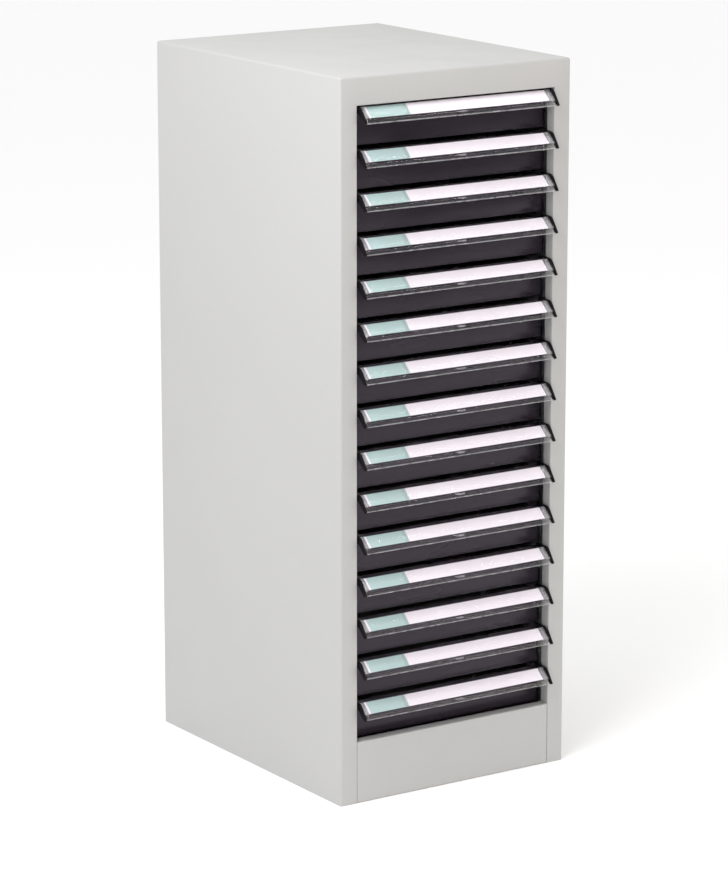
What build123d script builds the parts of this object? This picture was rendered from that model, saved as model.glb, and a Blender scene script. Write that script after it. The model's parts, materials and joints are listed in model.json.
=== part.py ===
from build123d import *

import os
from math import radians, tan

# Multi-drawer cabinet: a folded steel casing with fifteen moulded trays that slide in channel runners.
# Each tray carries a clear hood along its front, which is both the pull and the label pocket.
# Millimetres. +Z is up, the front faces -Y, and the origin is the centre of the casing's footprint.

# Casing
WIDTH = 280.0
DEPTH = 350.0
HEIGHT = 745.0
SHEET = 0.8
BEND = 2.4  # outside radius of the casing's folds
INSIDE_BEND = 1.0  # the folds' inside, as a flat
FRONT = -DEPTH / 2
BACK = DEPTH / 2

# Front frame, around the opening that the drawers stand in
STILE = 20.0
RAIL = 29.0
PLINTH = 65.0
FRAME_RETURN = 12.0  # how far the frame's edges fold back into the casing
FRAME_BEND = 0.7
PAN_BEND = 1.6
OPENING_HALF = WIDTH / 2 - STILE
OPENING_TOP = HEIGHT - RAIL

# Back and base
BACK_FLANGE = 15.0
BASE_FLANGE = 20.0

# Drawers, counted from the top
DRAWERS = 15
PITCH = 43.5
FIRST_BAY = 43.0  # from the top of the opening down to the floor of the first bay
TRAVEL = 250.0

# Tray, with heights above the floor of its own bay. Its floor takes A4 paper, 210 by 297.
FACE_BEHIND = 15.5  # how far the tray's front wall stands behind the casing's front
FACE_T = 2.2
FACE_HALF = 118.0
FACE_TOP = 39.8
FACE_BACK = FRONT + FACE_BEHIND + FACE_T
TRAY_LOW = 1.4
WALL_T = 1.8
FLOOR_T = 1.6
DRAFT = 1.5  # degrees
BASIN_HALF = 111.8
BASIN_BACK = 152.0
BASIN_CORNER = 8.0
FLOOR_CHAMFER = 2.4
RIM_LOW = 35.0
RIM_T = 1.8
RIM_TOP = RIM_LOW + RIM_T
RIM_BACK = 156.0
LUG_INSET = 5.0
LUG_FRONT = 102.0
LUG_LENGTH = 6.0
LUG_H = 1.4

# Side profiles of the lip, as points of (distance in front of the casing, height in the bay)
BRACKET_OUTER = [(-FACE_BEHIND - FACE_T, 42.7), (-FACE_BEHIND, 42.7), (1.5, 41.6), (12.4, 26.2)]
BRACKET_OUTER_R = [30.0, 8.0]
BRACKET_INNER = [(9.2, 25.2), (-1.5, 35.2), (-FACE_BEHIND - FACE_T, 35.2)]
BRACKET_INNER_R = 8.0
BRACKET_T = 2.4
HOOD = [(-FACE_BEHIND, 42.2), (-4.1, 41.9), (8.4, 30.7), (10.6, 26.2)]
HOOD_R = 5.0
HOOD_T = 2.8
SADDLE_T = 2.4
HOOK_T = 1.3
HOOK_DROP = 3.0
HOOK_HALF = 106.0
TAB_HALF = 5.75
TAB_TIP = 4.2
TAB_OUT = 3.0
TAB_T = 1.2
TAB_DROP = 0.6

# Label, and the clear wall in front of it
LABEL_HALF = 109.5
LABEL_H = 15.4
LABEL_T = 0.4
LABEL_ROOM = 0.2
POCKET_DEPTH = 1.2

# Runners and the uprights that carry them
RUNNER_OUT = OPENING_HALF + 0.4
RUNNER_WIDE = 7.0
RUNNER_GAP = 3.6
RUNNER_BACK = 158.0
STOP_WIDE = 4.5
STOP_H = 1.0
UPRIGHT_WIDE = 15.0
UPRIGHT_FRONT = -158.0
UPRIGHT_BACK = 159.0
UPRIGHT_LOW = 22.0
UPRIGHT_HIGH = 735.0

PAST = 1.0  # how far a cutting shape runs past what it cuts


def block(x0, x1, y0, y1, z0, z1):
    """A plain box between two corners."""
    return Pos((x0 + x1) / 2, (y0 + y1) / 2, (z0 + z1) / 2) * Box(x1 - x0, y1 - y0, z1 - z0)


def both_sides(shape):
    """A right-hand shape and its mirror image on the left."""
    return [shape, mirror(shape, Plane.YZ)]


def bay_floor(number):
    """Height of the floor of a drawer's bay."""
    return OPENING_TOP - FIRST_BAY - PITCH * (number - 1)


def near(value, target):
    return abs(value - target) < 0.01


def wrap():
    """The casing's outer sheet as a thin box with rounded folds, before its openings are cut."""
    outer = block(-WIDTH / 2, WIDTH / 2, FRONT, BACK, 0, HEIGHT)
    outer = fillet(outer.edges().filter_by(Axis.Z) + outer.edges().group_by(Axis.Z)[-1], BEND)
    half = WIDTH / 2 - SHEET
    inner = block(-half, half, FRONT + SHEET, BACK - SHEET, -PAST, HEIGHT - SHEET)
    inner_edges = inner.edges().filter_by(Axis.Z) + inner.edges().group_by(Axis.Z)[-1]
    return outer - chamfer(inner_edges, INSIDE_BEND)


def frame_returns():
    """The frame's edges, folded back into the casing round the sides and top of the opening."""
    half = OPENING_HALF + SHEET
    ring = block(-half, half, FRONT, FRONT + FRAME_RETURN, 0, OPENING_TOP + SHEET)
    return ring - block(-OPENING_HALF, OPENING_HALF, FRONT - PAST, BACK, -PAST, OPENING_TOP)


def casing():
    """One welded wrap: two sides, top, front frame with its returns, and the flanges at the back."""
    back_half = WIDTH / 2 - BACK_FLANGE
    body = wrap()
    body -= block(-OPENING_HALF, OPENING_HALF, FRONT - PAST, FRONT + BEND, -PAST, OPENING_TOP)
    body -= block(-back_half, back_half, BACK - BEND, BACK + PAST, -PAST, HEIGHT - BACK_FLANGE)
    body += frame_returns()
    front_edges = [e for e in body.edges() if near(e.center().Y, FRONT)]
    stile_folds = [e for e in front_edges if near(abs(e.center().X), OPENING_HALF)]
    rail_folds = [e for e in front_edges if near(e.center().Z, OPENING_TOP)]
    return fillet(stile_folds + rail_folds, FRAME_BEND)


def back_panel():
    """Flat sheet welded inside the casing's rear flanges."""
    half = WIDTH / 2 - SHEET - BEND
    return block(-half, half, BACK - 2 * SHEET, BACK - SHEET, SHEET, HEIGHT - SHEET - BEND)


def folded_pan(solid, open_side):
    """A sheet-metal pan: a block hollowed from one side, with its opposite face's edges folded."""
    pan = fillet(solid.faces().sort_by(open_side)[0].edges(), PAN_BEND)
    return offset(pan, -SHEET, openings=pan.faces().sort_by(open_side)[-1])


def base_panel():
    """Bottom sheet with an upstand on each side, welded into the casing."""
    half = WIDTH / 2 - SHEET
    front = FRONT + FRAME_RETURN
    return folded_pan(block(-half, half, front, BACK - 2 * SHEET, 0, BASE_FLANGE), Axis.Z)


def plinth_panel():
    """Kick panel between the stiles: a shallow pan with its face flush with the frame."""
    front_block = block(-OPENING_HALF, OPENING_HALF, FRONT, FRONT + FRAME_RETURN, 0, PLINTH)
    return folded_pan(front_block, Axis.Y)


def upright(front, hollow_front):
    """Channel post on the casing's right side, open towards the middle of the cabinet's depth."""
    back = front + UPRIGHT_WIDE
    side = WIDTH / 2 - SHEET
    post = block(RUNNER_OUT, side, front, back, UPRIGHT_LOW, UPRIGHT_HIGH)
    return post - block(
        RUNNER_OUT + SHEET,
        side - SHEET,
        hollow_front,
        hollow_front + UPRIGHT_WIDE,
        UPRIGHT_LOW - PAST,
        UPRIGHT_HIGH + PAST,
    )


def front_upright():
    return upright(UPRIGHT_FRONT, UPRIGHT_FRONT + SHEET)


def rear_upright():
    front = UPRIGHT_BACK - UPRIGHT_WIDE
    return upright(front, front - SHEET)


def runner(number):
    """A right-hand channel for a tray's rim, with a stop tab bent down behind its mouth."""
    low = bay_floor(number) + RIM_LOW - SHEET
    high = low + 2 * SHEET + RUNNER_GAP
    inner = RUNNER_OUT - SHEET - RUNNER_WIDE
    stop = LUG_FRONT - TRAVEL
    channel = block(inner, RUNNER_OUT, FACE_BACK, RUNNER_BACK, low, high)
    channel -= block(
        inner - PAST,
        RUNNER_OUT - SHEET,
        FACE_BACK - PAST,
        RUNNER_BACK + PAST,
        low + SHEET,
        high - SHEET,
    )
    return channel + block(
        inner, inner + STOP_WIDE, stop - SHEET, stop, high - SHEET - STOP_H, high
    )


def in_front(point):
    """A lip point as (y, z) in the bay."""
    return (FRONT - point[0], point[1])


def lip_line(points, radius):
    """A rounded line through lip points."""
    return FilletPolyline(*[in_front(p) for p in points], radius=radius)


def across(section, x0, x1):
    """A section drawn in (y, z), extruded across the cabinet."""
    return Pos(x0, 0, 0) * extrude(Plane.YZ * section, x1 - x0)


def lip_bracket():
    """The curved bracket at the right end of the lip, from behind the front wall to its tip."""
    outer = lip_line(BRACKET_OUTER, BRACKET_OUTER_R)
    inner = lip_line(BRACKET_INNER, BRACKET_INNER_R)
    section = make_face([outer, Line(outer @ 1, inner @ 0), inner, Line(inner @ 1, outer @ 0)])
    return across(section, FACE_HALF - BRACKET_T, FACE_HALF)


def basin(front, top, wall, floor, foot):
    """The tray's drafted bowl up to a height, drawn in by a wall and up by a floor, with a flat at its foot."""
    back = BASIN_BACK - wall
    low = TRAY_LOW + floor
    turn = low + foot
    slope = tan(radians(DRAFT))
    levels = [(top, (RIM_TOP - top) * slope), (turn, (RIM_TOP - turn) * slope)]
    if foot:
        levels.append((low, levels[1][1] + foot))
    sections = []
    for height, inset in levels:
        outline = RectangleRounded(
            2 * (BASIN_HALF - wall - inset), back - front - 2 * inset, BASIN_CORNER - wall
        )
        sections.append(Pos(0, (front + back) / 2, height) * outline)
    return loft(sections, ruled=True)


def tray():
    """One moulding: drafted bowl, rim that runs in the channels, front wall and the lip's brackets."""
    face_front = FRONT + FACE_BEHIND
    outside = basin(face_front - 2 * BASIN_CORNER, RIM_LOW, 0, 0, 0)
    outside -= block(-WIDTH, WIDTH, FRONT - DEPTH, FACE_BACK - FACE_T / 2, 0, RIM_TOP)
    shape = block(-FACE_HALF, FACE_HALF, face_front, FACE_BACK, TRAY_LOW, FACE_TOP) + outside
    shape += block(-FACE_HALF, FACE_HALF, FACE_BACK - FACE_T / 2, RIM_BACK, RIM_LOW, RIM_TOP)
    shape -= basin(FACE_BACK, RIM_TOP, WALL_T, FLOOR_T, FLOOR_CHAMFER)
    lug = block(
        FACE_HALF - LUG_INSET,
        FACE_HALF,
        LUG_FRONT,
        LUG_FRONT + LUG_LENGTH,
        RIM_LOW,
        RIM_TOP + LUG_H,
    )
    return shape + both_sides(lug) + both_sides(lip_bracket())


def label_section(height):
    """The label's section in its pocket, which lies along the hood's long facet."""
    top, bottom = [Vector(*in_front(p)) for p in HOOD[1:3]]
    down = (bottom - top).normalized()
    inward = Vector(-down.Y, down.X)
    centre = (top + bottom) * 0.5 + inward * (POCKET_DEPTH + LABEL_T / 2)
    corners = [(-1, -1), (1, -1), (1, 1), (-1, 1)]
    points = [centre + down * (a * height / 2) + inward * (b * LABEL_T / 2) for a, b in corners]
    return make_face(Polyline(*[(p.X, p.Y) for p in points], close=True))


def thumb_tab():
    """Tapered tab in the middle of the hood, just under the label."""
    forward, height = HOOD[2]
    root = FRONT - forward
    tip = root - TAB_OUT
    outline = Polyline((-TAB_HALF, root), (-TAB_TIP, tip), (TAB_TIP, tip), (TAB_HALF, root), close=True)
    return Pos(0, 0, height - TAB_DROP) * extrude(make_face(outline), -TAB_T)


def label_holder():
    """Clear hood with a pocket for the label, and a saddle that clips over the tray's front wall."""
    half = FACE_HALF - BRACKET_T
    face_front = FRONT + FACE_BEHIND
    saddle_top = FACE_TOP + SADDLE_T
    hook_back = FACE_BACK + HOOK_T
    band = make_face(offset(lip_line(HOOD, HOOD_R), amount=HOOD_T, side=Side.LEFT))
    hood = across(band, -half, half)
    hood -= block(-half - PAST, half + PAST, face_front, hook_back, 0, saddle_top + PAST)
    hood += block(-HOOK_HALF, HOOK_HALF, face_front, hook_back, FACE_TOP, saddle_top)
    hood += block(-HOOK_HALF, HOOK_HALF, FACE_BACK, hook_back, FACE_TOP - HOOK_DROP, saddle_top)
    hood += thumb_tab()
    return hood - across(label_section(LABEL_H + LABEL_ROOM), -half - PAST, half + PAST)


def label():
    """The card in the hood's pocket."""
    return across(label_section(LABEL_H), -LABEL_HALF, LABEL_HALF)


def write(name, shape):
    export_step(shape, f"parts/{name}.step")


os.makedirs("parts", exist_ok=True)
write("casing", casing())
write("back_panel", back_panel())
write("base_panel", base_panel())
write("plinth_panel", plinth_panel())
right_runners = Compound(children=[runner(number) for number in range(1, DRAWERS + 1)])
for name, shape in (
    ("front_upright", front_upright()),
    ("rear_upright", rear_upright()),
    ("runners", right_runners),
):
    write(f"right_{name}", shape)
    write(f"left_{name}", mirror(shape, Plane.YZ))

drawer = {"tray": tray(), "label_holder": label_holder(), "label": label()}
for number in range(1, DRAWERS + 1):
    for name, shape in drawer.items():
        write(f"drawer_{number:02d}_{name}", Pos(0, 0, bay_floor(number)) * shape)
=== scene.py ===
"""Finished look of a tall desktop cabinet: moulded paper trays in a powder-coated steel casing."""

import json
import math

import bmesh
import bpy
from bpy.props import FloatProperty, FloatVectorProperty, PointerProperty
from mathutils import Euler, Matrix, Vector

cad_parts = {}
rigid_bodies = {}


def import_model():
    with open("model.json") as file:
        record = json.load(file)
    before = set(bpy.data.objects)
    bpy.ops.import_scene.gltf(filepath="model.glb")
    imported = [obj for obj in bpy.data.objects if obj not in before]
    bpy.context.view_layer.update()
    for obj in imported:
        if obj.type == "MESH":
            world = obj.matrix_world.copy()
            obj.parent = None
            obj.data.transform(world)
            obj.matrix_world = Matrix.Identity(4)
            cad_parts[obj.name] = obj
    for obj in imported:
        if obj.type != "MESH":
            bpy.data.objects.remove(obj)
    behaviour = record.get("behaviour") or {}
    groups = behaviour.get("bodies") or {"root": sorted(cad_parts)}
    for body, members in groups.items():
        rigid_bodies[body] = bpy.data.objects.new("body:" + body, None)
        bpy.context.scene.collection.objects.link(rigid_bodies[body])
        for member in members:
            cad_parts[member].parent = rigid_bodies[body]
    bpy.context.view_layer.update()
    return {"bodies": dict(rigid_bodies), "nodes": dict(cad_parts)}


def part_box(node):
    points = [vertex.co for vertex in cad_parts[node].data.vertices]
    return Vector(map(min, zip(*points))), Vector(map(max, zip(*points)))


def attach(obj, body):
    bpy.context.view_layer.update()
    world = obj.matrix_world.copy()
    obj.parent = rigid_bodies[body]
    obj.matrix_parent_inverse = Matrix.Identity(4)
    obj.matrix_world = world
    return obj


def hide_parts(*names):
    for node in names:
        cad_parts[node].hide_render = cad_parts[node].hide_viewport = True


bl_info = {
    "name": "Multi-drawer cabinet",
    "version": (1, 0, 0),
    "blender": (4, 5, 0),
    "location": "View3D > Sidebar > Cabinet",
    "description": "Builds the finished cabinet around its CAD frame",
    "category": "Object",
}

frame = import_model()

DRAWERS = sorted(body for body in frame["bodies"] if body.startswith("drawer_"))
FIRST = DRAWERS[0]
CASING_LOW, CASING_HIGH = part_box("casing")
PLINTH_LOW, PLINTH_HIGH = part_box("plinth_panel")
TRAY_LOW, TRAY_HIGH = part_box(f"{FIRST}_tray")
LABEL_LOW, LABEL_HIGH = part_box(f"{FIRST}_label")
HOLDER_LOW, HOLDER_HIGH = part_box(f"{FIRST}_label_holder")
FRONT = CASING_LOW.y
BAY = TRAY_LOW.z - 0.0014  # floor of the first bay, under the tray

SOFT_ANGLE = math.radians(30)
CORNER_ANGLE = math.radians(50)  # a turn that is a corner and not part of a curve
NEAR = 1e-5
SEAT = 0.0001  # how far forms that become one solid sit apart from each other's faces
MOULD_EDGE = 0.0004  # radius on the mouldings' edges
WALL_EDGE = 0.0005  # radius on the edges of a tray's front wall
TAB_EDGE = 0.0003
HOOD_EDGE = 0.00012


# Sizes and colours

def length(name, text, default):
    return FloatProperty(name=name, description=text, default=default, unit="LENGTH", min=0, precision=4)


def tint(name, text, default):
    return FloatVectorProperty(name=name, description=text, default=default, subtype="COLOR", min=0, max=1)


def share(name, text, default):
    return FloatProperty(name=name, description=text, default=default, min=0, max=1, subtype="FACTOR")


class CasingSettings(bpy.types.PropertyGroup):
    sheet: length("Sheet", "Thickness of the folded steel sheet", 0.0008)
    bend: length("Bend", "Outside radius of the casing's folds", 0.0024)
    fold: length("Frame fold", "Outside radius of the folds round the opening", 0.0009)
    rail: length("Rail", "Height of the frame above the opening", 0.029)
    fold_back: length("Return", "How far the frame's edges fold back into the casing", 0.012)
    back_flange: length("Back flange", "Width of the flanges round the back panel", 0.015)
    coat: tint("Powder coat", "Light grey of the powder coat", (0.406, 0.404, 0.397))
    coat_roughness: share("Coat roughness", "Roughness of the powder coat", 0.42)
    zinc: tint("Zinc", "Colour of the plated runners and uprights", (0.60, 0.61, 0.63))


class TraySettings(bpy.types.PropertyGroup):
    face_behind: length("Front wall set back", "From the casing's front to the front wall", 0.0155)
    face_thickness: length("Front wall", "Thickness of the tray's front wall", 0.0022)
    face_height: length("Front wall height", "Height of the front wall", 0.0384)
    rim_height: length("Rim height", "Height of the rim's top above the tray's underside", 0.0354)
    rim_thickness: length("Rim", "Thickness of the rim that runs in the channels", 0.0018)
    wall: length("Wall", "Thickness of the bowl's walls", 0.0018)
    floor: length("Floor", "Thickness of the bowl's floor", 0.0016)
    bowl_half: length("Bowl half width", "Half the bowl's outside width under the rim", 0.1118)
    bowl_back: length("Bowl back", "Place of the bowl's back wall", 0.152)
    corner: length("Corner", "Outside radius of the bowl's corners", 0.008)
    foot: length("Foot", "Radius between the bowl's walls and floor", 0.0024)
    draft: FloatProperty(
        name="Draft", description="Lean of the bowl's walls", default=math.radians(1.5), subtype="ANGLE"
    )
    bracket: length("Bracket", "Thickness of the curved bracket at each end of the lip", 0.0024)
    lug_inset: length("Stop lug", "How far each stop lug reaches in from the rim's edge", 0.005)
    lug_front: length("Stop lug front", "Place of the stop lugs' front", 0.102)
    lug_length: length("Stop lug length", "Length of the stop lugs along the rim", 0.006)
    lug_height: length("Stop lug height", "How high the stop lugs stand on the rim", 0.0014)
    plastic: tint("Tray plastic", "Near-black of the moulded trays", (0.013, 0.010, 0.015))
    gloss: share("Tray roughness", "Roughness of the moulded trays", 0.24)
    # The brackets' deeper black and weaker reflection are painted shade on what is the same tray plastic.
    bracket_shaded_plastic: tint("Bracket plastic", "Deep black of the lip's brackets", (0.006, 0.005, 0.007))


class HoodSettings(bpy.types.PropertyGroup):
    thickness: length("Hood", "Thickness of the clear hood", 0.0028)
    pocket_depth: length("Pocket depth", "Clear wall in front of the label", 0.0012)
    saddle: length("Saddle", "Thickness of the saddle over the front wall", 0.0024)
    hook: length("Hook", "Thickness of the hook behind the front wall", 0.0013)
    hook_drop: length("Hook drop", "How far the hook reaches below the saddle", 0.0028)
    tab_half: length("Tab half width", "Half the width of the thumb tab", 0.00575)
    tab_out: length("Tab", "How far the thumb tab stands out", 0.003)
    tab_thickness: length("Tab thickness", "Thickness of the thumb tab", 0.0012)
    clear: tint("Clear plastic", "Tint of the clear hood", (0.96, 0.95, 0.98))
    card_height: length("Card height", "Height of the label along the hood's slope", 0.0142)
    card_down: length("Card place", "From the hood's bend down the slope to the label", 0.0007)
    # The plain band at the label's left end is a painted highlight: the glint of the hood's clear end,
    # drawn as white card.
    margin: length("Margin", "Plain margin at the label's left end", 0.0025)
    index_width: length("Index field", "Where the label's tinted field ends", 0.0495)
    index_edge: length("Index edge", "Width of the darker edge of the tinted field", 0.0045)
    index: tint("Index colour", "Pale green of the label's tinted field", (0.393, 0.515, 0.515))
    card: tint("Card", "Near white of the label", (0.80, 0.745, 0.80))


class StageSettings(bpy.types.PropertyGroup):
    place: FloatVectorProperty(
        name="Camera place", description="Where the camera stands", default=(-2.138, -3.212, 1.237),
        subtype="TRANSLATION", unit="LENGTH",
    )
    heading: FloatProperty(
        name="Heading", description="Turn of the view from straight ahead", default=math.radians(33.71),
        subtype="ANGLE",
    )
    tilt: FloatProperty(
        name="Tilt", description="How far the view looks down", default=math.radians(13.25), subtype="ANGLE"
    )
    lens: FloatProperty(name="Lens", description="Focal length in millimetres", default=152.8)
    floor: tint("Floor", "Colour of the studio floor", (0.95, 0.95, 0.95))
    dark_card: tint("Dark card", "Colour of the card that the front walls mirror", (0.05, 0.05, 0.05))
    sky: FloatProperty(name="Studio", description="Strength of the even studio light", default=1.0)
    key: FloatProperty(name="Key", description="Power of the lamp above left", default=21.0, unit="POWER")
    fill: FloatProperty(name="Fill", description="Power of the warm front lamp", default=8.0, unit="POWER")


# Materials

class Finish:
    """A material being put together from noise, colour and bump nodes round one shader."""

    def __init__(self, name, colour, roughness, metallic=0.0):
        self.material = bpy.data.materials.new(name)
        self.material.use_nodes = True
        self.material.diffuse_color = (*colour, 1.0)
        self.nodes = self.material.node_tree.nodes
        self.links = self.material.node_tree.links
        self.shader = self.nodes["Principled BSDF"]
        self.set("Base Color", (*colour, 1.0))
        self.set("Roughness", roughness)
        self.set("Metallic", metallic)
        self.place = self.nodes.new("ShaderNodeTexCoord").outputs["Object"]

    def set(self, socket, value):
        self.shader.inputs[socket].default_value = value

    def noise(self, scale, detail=2.0, stretch=(1, 1, 1)):
        """Noise on object coordinates, drawn out along an axis where stretch is under one."""
        place = self.place
        if tuple(stretch) != (1, 1, 1):
            mapping = self.nodes.new("ShaderNodeMapping")
            mapping.inputs["Scale"].default_value = stretch
            self.links.new(place, mapping.inputs["Vector"])
            place = mapping.outputs["Vector"]
        node = self.nodes.new("ShaderNodeTexNoise")
        node.inputs["Scale"].default_value = scale
        node.inputs["Detail"].default_value = detail
        self.links.new(place, node.inputs["Vector"])
        return node.outputs["Fac"]

    def cells(self, scale):
        """Irregular cells of even value, like zinc spangle."""
        node = self.nodes.new("ShaderNodeTexVoronoi")
        node.inputs["Scale"].default_value = scale
        self.links.new(self.place, node.inputs["Vector"])
        return node.outputs["Color"]

    def spread(self, value, low, high):
        """A value from noise, spread between two limits."""
        node = self.nodes.new("ShaderNodeMapRange")
        node.inputs["From Min"].default_value = 0.3
        node.inputs["From Max"].default_value = 0.7
        node.inputs["To Min"].default_value = low
        node.inputs["To Max"].default_value = high
        self.links.new(value, node.inputs["Value"])
        return node.outputs["Result"]

    def shade(self, value, amount):
        """The colour lightened and darkened a little by a value."""
        shader_colour = self.shader.inputs["Base Color"]
        mix = self.nodes.new("ShaderNodeMix")
        mix.data_type = "RGBA"
        mix.blend_type = "MULTIPLY"
        mix.inputs["Factor"].default_value = 1.0
        if shader_colour.is_linked:
            self.links.new(shader_colour.links[0].from_socket, mix.inputs[6])
        else:
            mix.inputs[6].default_value = shader_colour.default_value
        grey = self.nodes.new("ShaderNodeCombineColor")
        level = self.spread(value, 1 - amount, 1 + amount)
        for channel in ("Red", "Green", "Blue"):
            self.links.new(level, grey.inputs[channel])
        self.links.new(grey.outputs["Color"], mix.inputs[7])
        self.links.new(mix.outputs[2], shader_colour)

    def roughen(self, value, low, high):
        self.links.new(self.spread(value, low, high), self.shader.inputs["Roughness"])

    def bump(self, value, height):
        """Relief of a real height in metres."""
        node = self.nodes.new("ShaderNodeBump")
        node.inputs["Distance"].default_value = height
        normal = self.shader.inputs["Normal"]
        if normal.is_linked:
            self.links.new(normal.links[0].from_socket, node.inputs["Normal"])
        self.links.new(value, node.inputs["Height"])
        self.links.new(node.outputs["Normal"], normal)

    def let_through(self, amount):
        """Lets a share of the light straight through the surface."""
        clear = self.nodes.new("ShaderNodeBsdfTransparent")
        mix = self.nodes.new("ShaderNodeMixShader")
        mix.inputs["Fac"].default_value = amount
        output = self.nodes["Material Output"].inputs["Surface"]
        self.links.new(self.shader.outputs["BSDF"], mix.inputs[1])
        self.links.new(clear.outputs["BSDF"], mix.inputs[2])
        self.links.new(mix.outputs["Shader"], output)


def powder_coat(settings):
    """Satin powder coat: a faint orange peel over slow changes of shade."""
    finish = Finish("grey powder coat", settings.coat, settings.coat_roughness)
    finish.shade(finish.noise(3.0), 0.012)
    finish.shade(finish.noise(900.0, 1.0), 0.012)
    finish.roughen(finish.noise(14.0), settings.coat_roughness - 0.05, settings.coat_roughness + 0.05)
    finish.bump(finish.noise(420.0), 0.00012)
    finish.set("Specular IOR Level", 0.45)
    return finish.material


def zinc_plate(settings):
    """Plated sheet steel with a soft spangle and a drawn grain."""
    finish = Finish("zinc plate", settings.zinc, 0.36, metallic=1.0)
    finish.shade(finish.cells(110.0), 0.05)
    finish.roughen(finish.noise(60.0, 2.0, (1, 0.05, 1)), 0.28, 0.46)
    finish.bump(finish.noise(800.0, 1.0, (1, 0.04, 1)), 0.00003)
    return finish.material


def tray_plastic(name, colour, roughness, specular):
    """Black moulding with faint flow lines."""
    finish = Finish(name, colour, roughness)
    finish.shade(finish.noise(25.0, 3.0, (0.25, 1, 1)), 0.25)
    finish.roughen(finish.noise(18.0, 3.0, (0.3, 1, 1)), roughness - 0.06, roughness + 0.08)
    finish.bump(finish.noise(14.0, 1.0, (0.3, 1, 1)), 0.0002)
    finish.bump(finish.noise(1500.0, 1.0), 0.00001)
    finish.set("IOR", 1.5)
    finish.set("Specular IOR Level", specular)
    finish.set("Specular Tint", (0.96, 0.86, 1.0, 1.0))
    return finish.material


def clear_plastic(settings, name, milk, open_share, roughness):
    """Clear moulded plastic: a little milky, with a share of light that goes straight through."""
    finish = Finish(name, settings.clear, roughness)
    finish.set("Transmission Weight", 1.0 - milk)
    finish.set("IOR", 1.49)
    finish.roughen(finish.noise(90.0), roughness * 0.6, roughness * 1.6)
    finish.let_through(open_share)
    return finish.material


def paper(name, colour):
    """Matt card with a fine tooth."""
    finish = Finish(name, colour, 0.65)
    finish.shade(finish.noise(1200.0, 2.0), 0.02)
    finish.shade(finish.noise(20.0), 0.015)
    finish.bump(finish.noise(1500.0, 2.0), 0.00002)
    return finish.material


# Mesh helpers

def outline_face(bm, points, radii):
    """A flat face across the cabinet's depth and height, with rounded corners."""
    verts = [bm.verts.new((0.0, y, z)) for y, z in points]
    bm.faces.new(verts)
    count = len(points)
    for i, radius in enumerate(radii):
        if not radius:
            continue
        here = Vector(points[i])
        before = (here - Vector(points[i - 1])).normalized()
        after = (Vector(points[(i + 1) % count]) - here).normalized()
        turn = before.angle(after)
        bmesh.ops.bevel(
            bm, geom=[verts[i]], offset=radius * math.tan(turn / 2), offset_type="OFFSET",
            affect="VERTICES", segments=max(2, math.ceil(turn / math.radians(11))), profile=0.5,
            material=-1,
        )


def drawn_across(outlines, x0, x1):
    """A solid drawn across the cabinet from an outline, less any further outlines inside it."""
    bm = bmesh.new()
    for points, radii in outlines:
        part = bmesh.new()
        outline_face(part, points, radii)
        copied = bpy.data.meshes.new("outline")
        part.to_mesh(copied)
        part.free()
        bm.from_mesh(copied)
        bpy.data.meshes.remove(copied)
    if len(outlines) > 1:
        bmesh.ops.delete(bm, geom=bm.faces[:], context="FACES_ONLY")
        bmesh.ops.triangle_fill(bm, edges=bm.edges[:], use_beauty=True)
    bmesh.ops.translate(bm, verts=bm.verts[:], vec=(x0, 0, 0))
    grown = bmesh.ops.extrude_face_region(bm, geom=bm.faces[:])
    moved = [item for item in grown["geom"] if isinstance(item, bmesh.types.BMVert)]
    bmesh.ops.translate(bm, verts=moved, vec=(x1 - x0, 0, 0))
    bmesh.ops.dissolve_limit(bm, angle_limit=math.radians(0.5), verts=bm.verts[:], edges=bm.edges[:])
    return bm


def solid_box(low, high):
    """A box between two corners."""
    bm = bmesh.new()
    bmesh.ops.create_cube(bm, size=1.0)
    low, high = Vector(low), Vector(high)
    bmesh.ops.scale(bm, verts=bm.verts[:], vec=high - low)
    bmesh.ops.translate(bm, verts=bm.verts[:], vec=(low + high) / 2)
    return bm


def sharp_edges(bm, angle=SOFT_ANGLE):
    return [e for e in bm.edges if e.is_manifold and e.calc_face_angle(0.0) > angle]


def round_edges(bm, edges, radius, segments=3):
    """Rounds edges off, as a tool's radius or a paint film does."""
    bmesh.ops.bevel(
        bm, geom=edges, offset=radius, offset_type="OFFSET", affect="EDGES", segments=segments,
        profile=0.5, material=-1, clamp_overlap=True,
    )


def face_towards(bm, direction):
    """The face that lies furthest that way and looks that way."""
    way = Vector(direction)
    looking = [f for f in bm.faces if f.normal.dot(way) > 0.99]
    return max(looking, key=lambda f: f.calc_center_median().dot(way))


def united(parts, cuts=()):
    """Several closed forms made one solid, less the forms that cut it."""
    forms = []
    for part in (*parts, *cuts):
        bmesh.ops.recalc_face_normals(part, faces=part.faces[:])
        mesh = bpy.data.meshes.new("part")
        part.to_mesh(mesh)
        part.free()
        form = bpy.data.objects.new("part", mesh)
        bpy.context.scene.collection.objects.link(form)
        forms.append(form)
    for number, form in enumerate(forms[1:], start=1):
        step = forms[0].modifiers.new("step", "BOOLEAN")
        step.operation = "UNION" if number < len(parts) else "DIFFERENCE"
        step.solver = "EXACT"
        step.object = form
    solid = bpy.data.meshes.new_from_object(forms[0].evaluated_get(bpy.context.evaluated_depsgraph_get()))
    whole = bmesh.new()
    whole.from_mesh(solid)
    bpy.data.meshes.remove(solid)
    for form in forms:
        bpy.data.meshes.remove(form.data)
    whole.normal_update()
    return whole


def finished(bm, name):
    """The mesh, smooth over its rounded edges and sharp at its corners."""
    bm.normal_update()
    for face in bm.faces:
        face.smooth = True
    for edge in bm.edges:
        edge.smooth = not edge.is_manifold or edge.calc_face_angle(0.0) < SOFT_ANGLE
    mesh = bpy.data.meshes.new(name)
    bm.to_mesh(mesh)
    bm.free()
    return mesh


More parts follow.
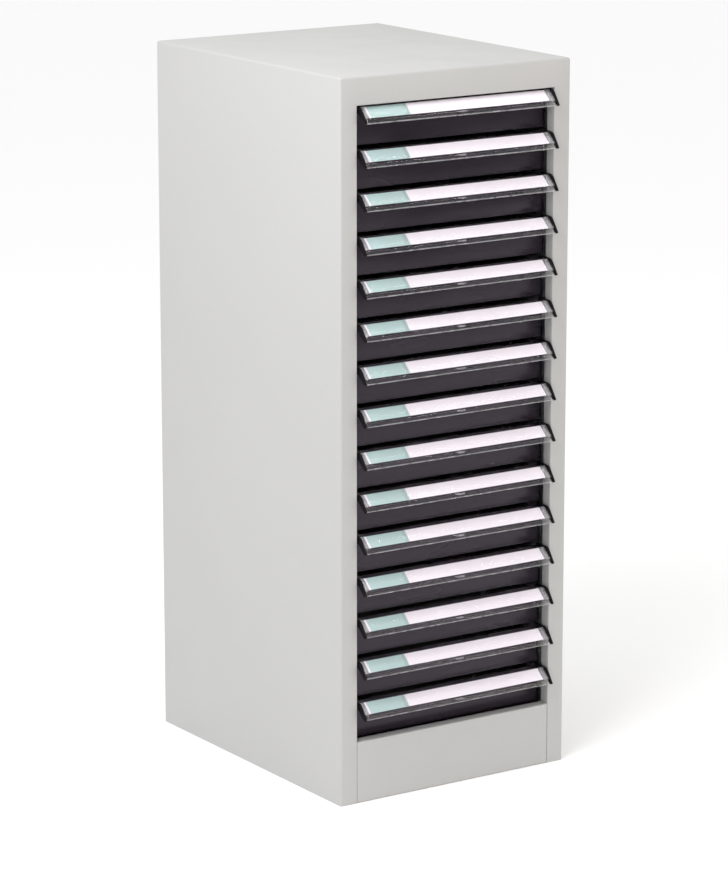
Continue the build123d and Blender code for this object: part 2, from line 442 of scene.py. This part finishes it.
def piece(name, mesh, materials, body, slot, *nodes):
    """An object at the origin that rides on a body and stands for CAD nodes."""
    made = bpy.data.objects.new(name, mesh)
    bpy.context.scene.collection.objects.link(made)
    for material in materials:
        mesh.materials.append(material)
    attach(made, body)
    if nodes:
        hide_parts(*nodes)


def in_every_bay(mesh, part, materials, slot):
    """The first drawer's piece, repeated at each drawer's height."""
    first_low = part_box(f"{FIRST}_{part}")[0]
    for drawer in DRAWERS:
        node = f"{drawer}_{part}"
        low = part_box(node)[0]
        copied = mesh.copy()
        copied.transform(Matrix.Translation(low - first_low))
        piece(f"{node}_finish", copied, materials, drawer, slot, node)
    bpy.data.meshes.remove(mesh)


def dress(node, material):
    """A CAD node that keeps its shape and gets a finish."""
    shown = frame["nodes"][node]
    if not shown.material_slots:
        shown.data.materials.append(material)
    for held in shown.material_slots:
        held.material = material


# Casing

def casing_shell(settings):
    """The folded wrap: rounded folds, the frame's opening with its returns, and the back flanges."""
    bm = solid_box(CASING_LOW, CASING_HIGH)
    upright = [e for e in bm.edges if abs(e.verts[0].co.z - e.verts[1].co.z) > NEAR]
    top = [e for e in bm.edges if min(v.co.z for v in e.verts) > CASING_HIGH.z - NEAR]
    round_edges(bm, upright + top, settings.bend, 6)
    bm.normal_update()

    opening_half = PLINTH_HIGH.x
    opening_top = CASING_HIGH.z - settings.rail
    back_half = CASING_HIGH.x - settings.back_flange
    back_top = CASING_HIGH.z - settings.back_flange
    cut_out(bm, (0, -1, 0), opening_half, opening_top)
    cut_out(bm, (0, 1, 0), back_half, back_top)
    bmesh.ops.delete(bm, geom=[face_towards(bm, (0, 0, -1))], context="FACES")

    lips = [
        e for e in bm.edges
        if e.is_boundary
        and all(abs(v.co.y - FRONT) < NEAR for v in e.verts)
        and all(abs(v.co.x) < opening_half + NEAR and v.co.z < opening_top + NEAR for v in e.verts)
        and not all(v.co.z < NEAR for v in e.verts)
    ]
    turned = bmesh.ops.extrude_edge_only(bm, edges=lips)
    moved = [item for item in turned["geom"] if isinstance(item, bmesh.types.BMVert)]
    bmesh.ops.translate(bm, verts=moved, vec=(0, settings.fold_back, 0))
    bm.normal_update()
    folds = [e for e in lips if e.is_valid]
    round_edges(bm, folds, settings.fold, 4)
    bmesh.ops.recalc_face_normals(bm, faces=bm.faces[:])
    bmesh.ops.solidify(bm, geom=bm.faces[:], thickness=settings.sheet)
    bmesh.ops.recalc_face_normals(bm, faces=bm.faces[:])
    return bm


def cut_out(bm, direction, half, top):
    """Cuts a rectangle that stands on the floor out of the casing's front or back face."""
    cuts = [((-half, 0, 0), (1, 0, 0)), ((half, 0, 0), (1, 0, 0)), ((0, 0, top), (0, 0, 1))]
    for point, normal in cuts:
        side = [f for f in bm.faces if f.normal.dot(Vector(direction)) > 0.99]
        bound = {item for f in side for item in (*f.edges, *f.verts)}
        bmesh.ops.bisect_plane(bm, geom=[*side, *bound], dist=NEAR / 10, plane_co=point, plane_no=normal)
        bm.normal_update()
    inside = [
        f for f in bm.faces
        if f.normal.dot(Vector(direction)) > 0.99
        and abs(f.calc_center_median().x) < half
        and f.calc_center_median().z < top
    ]
    bmesh.ops.delete(bm, geom=inside, context="FACES_ONLY")


class CABINET_OT_casing(bpy.types.Operator):
    """Build the powder-coated casing and finish its panels"""

    bl_idname = "cabinet.casing"
    bl_label = "Casing"

    def execute(self, context):
        settings = context.scene.cabinet_casing
        coat = powder_coat(settings)
        mesh = finished(casing_shell(settings), "casing_shell")
        piece("casing_shell", mesh, [coat], "casing", "powder_coat", "casing")
        for node in ("back_panel", "base_panel", "plinth_panel"):
            dress(node, coat)
        return {"FINISHED"}


class CABINET_OT_steelwork(bpy.types.Operator):
    """Finish the uprights and the channel runners"""

    bl_idname = "cabinet.steelwork"
    bl_label = "Runners and uprights"

    def execute(self, context):
        zinc = zinc_plate(context.scene.cabinet_casing)
        for side in ("left", "right"):
            for node in ("front_upright", "rear_upright", "runners"):
                dress(f"{side}_{node}", zinc)
        return {"FINISHED"}


# Trays

# Side profile of a lip's bracket, as points of (distance in front of the casing, height in the bay)
BRACKET_TOP = 0.0427
BRACKET_OUTER = [(0.0015, 0.0416), (0.0124, 0.0262)]
BRACKET_INNER = [(0.0092, 0.0252), (-0.0015, 0.0352)]
BRACKET_BROW = 0.030  # radius over the front wall
BRACKET_BEND = 0.008


def basin(settings, front, wall, low, high, foot):
    """The bowl's drafted form up to a height, drawn in by a wall, with rounded corners and foot."""
    half = settings.bowl_half - wall
    bm = solid_box((-half, front, low), (half, settings.bowl_back - wall, high))
    rim_top = TRAY_LOW.z + settings.rim_height
    for vert in bm.verts:
        lean = (rim_top - vert.co.z) * math.tan(settings.draft)
        vert.co.x -= math.copysign(lean, vert.co.x)
        vert.co.y -= math.copysign(lean, vert.co.y)
    bm.normal_update()
    upright = [e for e in bm.edges if abs(e.verts[0].co.z - e.verts[1].co.z) > NEAR]
    round_edges(bm, upright, settings.corner - wall, 8)
    bm.normal_update()
    round_edges(bm, [e for e in bm.edges if max(v.co.z for v in e.verts) < low + NEAR], foot, 4)
    return bm


def tray_mesh(settings):
    """One moulding: bowl, rim, front wall, stop lugs and the lip's brackets."""
    floor = TRAY_LOW.z
    rim_top = floor + settings.rim_height
    rim_low = rim_top - settings.rim_thickness
    face_front = FRONT + settings.face_behind
    face_back = face_front + settings.face_thickness
    inside_wall = face_front + settings.face_thickness / 2

    rim = solid_box((TRAY_LOW.x + SEAT, inside_wall, rim_low), (TRAY_HIGH.x - SEAT, TRAY_HIGH.y, rim_top))
    round_edges(rim, rim.edges[:], MOULD_EDGE, 2)
    ahead = face_front - 2 * settings.corner
    outside = basin(settings, ahead, 0.0, floor + 2 * SEAT, rim_low + SEAT, 2 * MOULD_EDGE)
    inside = basin(
        settings, face_back, settings.wall, floor + settings.floor, rim_top + settings.wall, settings.foot
    )
    waste = solid_box((-1, -1, -1), (1, inside_wall + SEAT, 1))
    bowl = united([outside, rim], [waste, inside])
    mouth = [
        e for e in sharp_edges(bowl)
        if min(v.co.z for v in e.verts) > rim_top - NEAR
        and min(v.co.y for v in e.verts) > face_back + NEAR
        and max(abs(v.co.x) for v in e.verts) < settings.bowl_half
        and max(v.co.y for v in e.verts) < settings.bowl_back
    ]
    round_edges(bowl, mouth, MOULD_EDGE, 2)

    face_top = floor + settings.face_height
    wall = solid_box((TRAY_LOW.x, face_front, floor), (TRAY_HIGH.x, face_back, face_top))
    round_edges(wall, wall.edges[:], WALL_EDGE, 3)
    fittings = [make(settings, side) for make in (bracket, stop_lug) for side in (-1, 1)]
    whole = united([bowl, wall, *fittings])
    # Faces in front of the front wall, the brackets, take the darker copy of the tray plastic: painted
    # shade.
    for face in whole.faces:
        before_wall = face.calc_center_median().y < face_front - NEAR
        face.material_index = 1 if before_wall else 0
    return whole


def stop_lug(settings, side):
    """Small lug on the rim that meets the channel's stop tab."""
    rim_top = TRAY_LOW.z + settings.rim_height
    root = rim_top - settings.rim_thickness + SEAT
    outer = side * (TRAY_HIGH.x - SEAT)
    inner = side * (TRAY_HIGH.x - settings.lug_inset)
    bm = solid_box(
        (min(outer, inner), settings.lug_front, root),
        (max(outer, inner), settings.lug_front + settings.lug_length, rim_top + settings.lug_height),
    )
    bm.normal_update()
    round_edges(bm, bm.edges[:], MOULD_EDGE, 2)
    return bm


def lip_points(points):
    """Lip points, given in front of the casing and above the bay's floor, in the row frame."""
    return [(FRONT - forward, BAY + height) for forward, height in points]


def bracket(settings, side):
    """Curved end of the lip, thick behind the front wall and slender at its tip."""
    front = -settings.face_behind
    back = front - settings.face_thickness
    root_low = BRACKET_INNER[-1][1]
    points = [
        (back, BRACKET_TOP), (front, BRACKET_TOP), *BRACKET_OUTER, *BRACKET_INNER, (back, root_low)
    ]
    tip = 2 * MOULD_EDGE
    radii = [WALL_EDGE, BRACKET_BROW, BRACKET_BEND, tip, tip, BRACKET_BEND, 0]
    outer = side * TRAY_HIGH.x
    inner = side * (TRAY_HIGH.x - settings.bracket)
    bm = drawn_across([(lip_points(points), radii)], min(outer, inner), max(outer, inner))
    bm.normal_update()
    bmesh.ops.recalc_face_normals(bm, faces=bm.faces[:])
    bm.normal_update()
    round_edges(bm, sharp_edges(bm, CORNER_ANGLE), MOULD_EDGE, 2)
    return bm


class CABINET_OT_trays(bpy.types.Operator):
    """Build the moulded trays"""

    bl_idname = "cabinet.trays"
    bl_label = "Trays"

    def execute(self, context):
        settings = context.scene.cabinet_tray
        mesh = finished(tray_mesh(settings), "tray")
        materials = [
            tray_plastic("black moulding", settings.plastic, settings.gloss, specular=0.38),
            # Darker, less reflective copy of the tray plastic: painted shade on the brackets.
            tray_plastic("bracket moulding in painted shade", settings.bracket_shaded_plastic, roughness=0.40, specular=0.10),
        ]
        in_every_bay(mesh, "tray", materials, "tray_plastic")
        return {"FINISHED"}


# Label hoods and labels

# The hood's outside, from the saddle over the front wall to the tip, drawn like the brackets
HOOD_LINE = [(-0.0155, 0.0422), (-0.0041, 0.0419), (0.0084, 0.0307), (0.0106, 0.0262)]
HOOD_BEND = 0.005
HOOD_BEND_INSIDE = 0.0022
HOOD_TIP = 0.0006  # radius at the tip and at the saddle's back
POCKET_HALF = 0.0002
CARD_HALF = 0.00018


def hood_slope():
    """The top of the hood's slope, and the directions down it and into the hood."""
    top, bottom = Vector(HOOD_LINE[1]), Vector(HOOD_LINE[2])
    down = (bottom - top).normalized()
    return top, down, Vector((down.y, -down.x))


def inner_line(points, thickness):
    """A line drawn inside another at a constant distance, with mitred corners."""
    points = [Vector(p) for p in points]
    ways = [(b - a).normalized() for a, b in zip(points, points[1:])]
    inwards = [Vector((way.y, -way.x)) for way in ways]
    line = [points[0] + inwards[0] * thickness]
    for point, a, b in zip(points[1:-1], inwards, inwards[1:]):
        line.append(point + (a + b) * (thickness / (1 + a.dot(b))))
    line.append(points[-1] + inwards[-1] * thickness)
    return [tuple(p) for p in line]


def slot_outline(settings, height, half_thickness):
    """Four corners of a thin slot behind the hood's slope, for the pocket and for the card in it."""
    top, down, inward = hood_slope()
    along = settings.card_down + settings.card_height / 2
    centre = top + down * along + inward * (settings.pocket_depth + POCKET_HALF)
    return [
        tuple(centre + down * (a * height / 2) + inward * (b * half_thickness))
        for a, b in ((-1, -1), (1, -1), (1, 1), (-1, 1))
    ]


def hood_mesh(settings, wall):
    """Clear hood with its label pocket, the saddle over the front wall, and the thumb tab."""
    face_front, saddle_top = HOOD_LINE[0]
    saddle_low = saddle_top - settings.saddle
    hook_low = saddle_low - settings.hook_drop
    face_back = face_front - wall
    hook_back = face_back - settings.hook
    inside = inner_line(HOOD_LINE, settings.thickness)
    inside[0] = (face_front, inside[0][1])
    points = [
        (hook_back, saddle_top), *HOOD_LINE[1:], *reversed(inside), (face_front, saddle_low),
        (face_back, saddle_low), (face_back, hook_low), (hook_back, hook_low),
    ]
    bends = [HOOD_BEND] * 2 + [HOOD_TIP] * 2 + [HOOD_BEND_INSIDE] * 2
    radii = [HOOD_TIP, *bends, 0, 0, 0, 0, HOOD_TIP / 2]
    pocket = slot_outline(settings, settings.card_height + 2 * SEAT, POCKET_HALF)
    hood = drawn_across(
        [(lip_points(points), radii), (lip_points(pocket), [0] * 4)], HOLDER_LOW.x, HOLDER_HIGH.x
    )
    bmesh.ops.recalc_face_normals(hood, faces=hood.faces[:])
    hood.normal_update()
    round_edges(hood, sharp_edges(hood, CORNER_ANGLE), HOOD_EDGE, 2)
    hood = united([hood, thumb_tab(settings)])
    for end in (LABEL_LOW.x, LABEL_HIGH.x):
        bmesh.ops.bisect_plane(
            hood, geom=[*hood.verts, *hood.edges, *hood.faces], dist=NEAR / 10, plane_co=(end, 0, 0),
            plane_no=(1, 0, 0),
        )
    hood.normal_update()
    for face in hood.faces:
        face.material_index = hood_part(face, settings)
    return hood


def hood_part(face, settings):
    """Which clear finish a face of the hood has: 0 plain, 1 pane, 2 milky tip and tab as a painted
    highlight, 3 milky end as a painted highlight.
    """
    top, down, _ = hood_slope()
    out = Vector((0, down.y, down.x))
    start = Vector((0, *lip_points([top])[0]))
    centre = face.calc_center_median()
    over_label = LABEL_LOW.x < centre.x < LABEL_HIGH.x
    depth = (start - centre).dot(out)
    along_slope = abs(face.normal.dot(out)) > 0.99 and depth < settings.pocket_depth + NEAR
    on_tab = abs(centre.x) < settings.tab_half + NEAR and depth < -NEAR
    at_tip = centre.z < BAY + HOOD_LINE[-1][1] + HOOD_TIP
    above_strip = centre.z > BAY + HOOD_LINE[2][1]
    # The tip's edge and the thumb tab get a milky copy: a painted highlight.
    if on_tab or at_tip:
        return 2
    if over_label:
        return 1 if above_strip else 0
    # The slope beside the label gets a milky copy: a painted highlight of the hood's clear ends.
    return 3 if along_slope else 0


def thumb_tab(settings):
    """Half-round tab in the middle of the hood, just under the label."""
    forward, height = HOOD_LINE[2]
    bm = bmesh.new()
    bmesh.ops.create_cone(
        bm, cap_ends=True, segments=32, radius1=settings.tab_half, radius2=settings.tab_half,
        depth=settings.tab_thickness,
    )
    bmesh.ops.scale(bm, verts=bm.verts[:], vec=(1, settings.tab_out / settings.tab_half, 1))
    place = (0, FRONT - forward, BAY + height - settings.tab_thickness)
    bmesh.ops.translate(bm, verts=bm.verts[:], vec=place)
    bm.normal_update()
    round_edges(bm, sharp_edges(bm, CORNER_ANGLE), TAB_EDGE, 2)
    return bm


def label_mesh(settings):
    """The card, with its tinted index field as its own faces."""
    corners = slot_outline(settings, settings.card_height, CARD_HALF)
    bm = drawn_across([(lip_points(corners), [0] * 4)], LABEL_LOW.x, LABEL_HIGH.x)
    bmesh.ops.recalc_face_normals(bm, faces=bm.faces[:])
    # The first band is the painted highlight at the left end, left as white card; then the tinted field and
    # its darker edge.
    field = [settings.margin, settings.index_width - settings.index_edge, settings.index_width]
    for reach in field:
        bmesh.ops.bisect_plane(
            bm, geom=[*bm.verts, *bm.edges, *bm.faces], dist=NEAR / 10,
            plane_co=(LABEL_LOW.x + reach, 0, 0), plane_no=(1, 0, 0),
        )
    for face in bm.faces:
        reach = face.calc_center_median().x - LABEL_LOW.x
        bands_passed = sum(reach > edge for edge in field)
        face.material_index = (0, 1, 2, 0)[bands_passed]
    return bm


class CABINET_OT_hoods(bpy.types.Operator):
    """Build the clear label hoods"""

    bl_idname = "cabinet.hoods"
    bl_label = "Label hoods"

    def execute(self, context):
        settings = context.scene.cabinet_hood
        mesh = finished(hood_mesh(settings, context.scene.cabinet_tray.face_thickness), "hood")
        materials = [
            clear_plastic(settings, "clear hood", milk=0.0, open_share=0.78, roughness=0.04),
            clear_plastic(settings, "clear pane", milk=0.0, open_share=0.95, roughness=0.03),
            # The last two are milky copies of the clear plastic: painted highlights on the tip, the tab and
            # the hood's ends.
            clear_plastic(settings, "milky tip, painted highlight", milk=0.3, open_share=0.4, roughness=0.25),
            clear_plastic(settings, "milky end, painted highlight", milk=0.2, open_share=0.35, roughness=0.08),
        ]
        in_every_bay(mesh, "label_holder", materials, "clear_plastic")
        return {"FINISHED"}


class CABINET_OT_labels(bpy.types.Operator):
    """Build the label cards"""

    bl_idname = "cabinet.labels"
    bl_label = "Labels"

    def execute(self, context):
        settings = context.scene.cabinet_hood
        mesh = finished(label_mesh(settings), "label")
        darker = [channel * 0.82 for channel in settings.index]
        materials = [
            paper("white card", settings.card),
            paper("index field", settings.index),
            paper("index edge", darker),
        ]
        in_every_bay(mesh, "label", materials, "label_card")
        return {"FINISHED"}


# Stage

KEY_PLACE = (-1.05, -0.5, 1.6)
FILL_PLACE = (1.2, -2.2, 0.9)
FILL_COLOUR = (1.0, 0.86, 0.74)
LAMP_SIZE = 1.0
FLOOR_RADIUS = 16.0
# The dark card lies outside the photograph's view, where the upper front walls mirror the floor
DARK_CARD_LOW = (0.6, -4.2, 0.001)
DARK_CARD_HIGH = (3.2, -1.5, 0.004)


def lamp(name, place, target, power, colour=(1, 1, 1)):
    """A large soft area lamp that looks at a point."""
    data = bpy.data.lights.new(name, "AREA")
    data.shape = "SQUARE"
    data.size = LAMP_SIZE
    data.energy = power
    data.color = colour
    made = bpy.data.objects.new(name, data)
    made.location = place
    made.rotation_euler = (Vector(target) - Vector(place)).to_track_quat("-Z", "Y").to_euler()
    bpy.context.scene.collection.objects.link(made)


def stage_piece(name, bm, material):
    """An object that belongs to the studio and not to the cabinet."""
    mesh = bpy.data.meshes.new(name)
    bm.to_mesh(mesh)
    bm.free()
    mesh.materials.append(material)
    made = bpy.data.objects.new(name, mesh)
    bpy.context.scene.collection.objects.link(made)


class CABINET_OT_stage(bpy.types.Operator):
    """Set up the studio floor, the soft light and the camera"""

    bl_idname = "cabinet.stage"
    bl_label = "Studio"

    def execute(self, context):
        scene = context.scene
        settings = scene.cabinet_stage
        world = bpy.data.worlds.new("studio")
        world.use_nodes = True
        background = world.node_tree.nodes["Background"]
        background.inputs["Color"].default_value = (1, 1, 1, 1)
        background.inputs["Strength"].default_value = settings.sky
        scene.world = world

        floor = bmesh.new()
        bmesh.ops.create_circle(floor, cap_ends=True, segments=96, radius=FLOOR_RADIUS)
        stage_piece("floor", floor, Finish("studio floor", settings.floor, 0.8).material)
        card = solid_box(DARK_CARD_LOW, DARK_CARD_HIGH)
        stage_piece("dark_card", card, Finish("dark card", settings.dark_card, 0.8).material)

        middle = Vector((0, 0, (CASING_LOW.z + CASING_HIGH.z) / 2))
        lamp("key", KEY_PLACE, middle, settings.key)
        lamp("fill", FILL_PLACE, middle, settings.fill, FILL_COLOUR)

        data = bpy.data.cameras.new("camera")
        data.lens = settings.lens
        data.sensor_width = 36.0
        data.clip_end = 100.0
        camera = bpy.data.objects.new("camera", data)
        camera.location = settings.place
        camera.rotation_euler = Euler((math.pi / 2 - settings.tilt, 0, -settings.heading))
        scene.collection.objects.link(camera)
        scene.camera = camera
        scene.view_settings.view_transform = "Standard"
        return {"FINISHED"}


class CABINET_PT_panel(bpy.types.Panel):
    """Lists the cabinet's pieces and their settings"""

    bl_idname = "CABINET_PT_panel"
    bl_label = "Multi-drawer cabinet"
    bl_space_type = "VIEW_3D"
    bl_region_type = "UI"
    bl_category = "Cabinet"

    def draw(self, context):
        scene = context.scene
        for operator in OPERATORS:
            self.layout.operator(operator.bl_idname)
        for group in (scene.cabinet_casing, scene.cabinet_tray, scene.cabinet_hood, scene.cabinet_stage):
            box = self.layout.box()
            for name in group.__annotations__:
                box.prop(group, name)


OPERATORS = (
    CABINET_OT_casing,
    CABINET_OT_steelwork,
    CABINET_OT_trays,
    CABINET_OT_hoods,
    CABINET_OT_labels,
    CABINET_OT_stage,
)
GROUPS = {
    "cabinet_casing": CasingSettings,
    "cabinet_tray": TraySettings,
    "cabinet_hood": HoodSettings,
    "cabinet_stage": StageSettings,
}


def register():
    for kind in (*GROUPS.values(), *OPERATORS, CABINET_PT_panel):
        bpy.utils.register_class(kind)
    for name, group in GROUPS.items():
        setattr(bpy.types.Scene, name, PointerProperty(type=group))


def unregister():
    for name in GROUPS:
        delattr(bpy.types.Scene, name)
    for kind in reversed((*GROUPS.values(), *OPERATORS, CABINET_PT_panel)):
        bpy.utils.unregister_class(kind)


def main():
    register()
    bpy.ops.cabinet.casing()
    bpy.ops.cabinet.steelwork()
    bpy.ops.cabinet.trays()
    bpy.ops.cabinet.hoods()
    bpy.ops.cabinet.labels()
    bpy.ops.cabinet.stage()


if __name__ == "__main__":
    main()
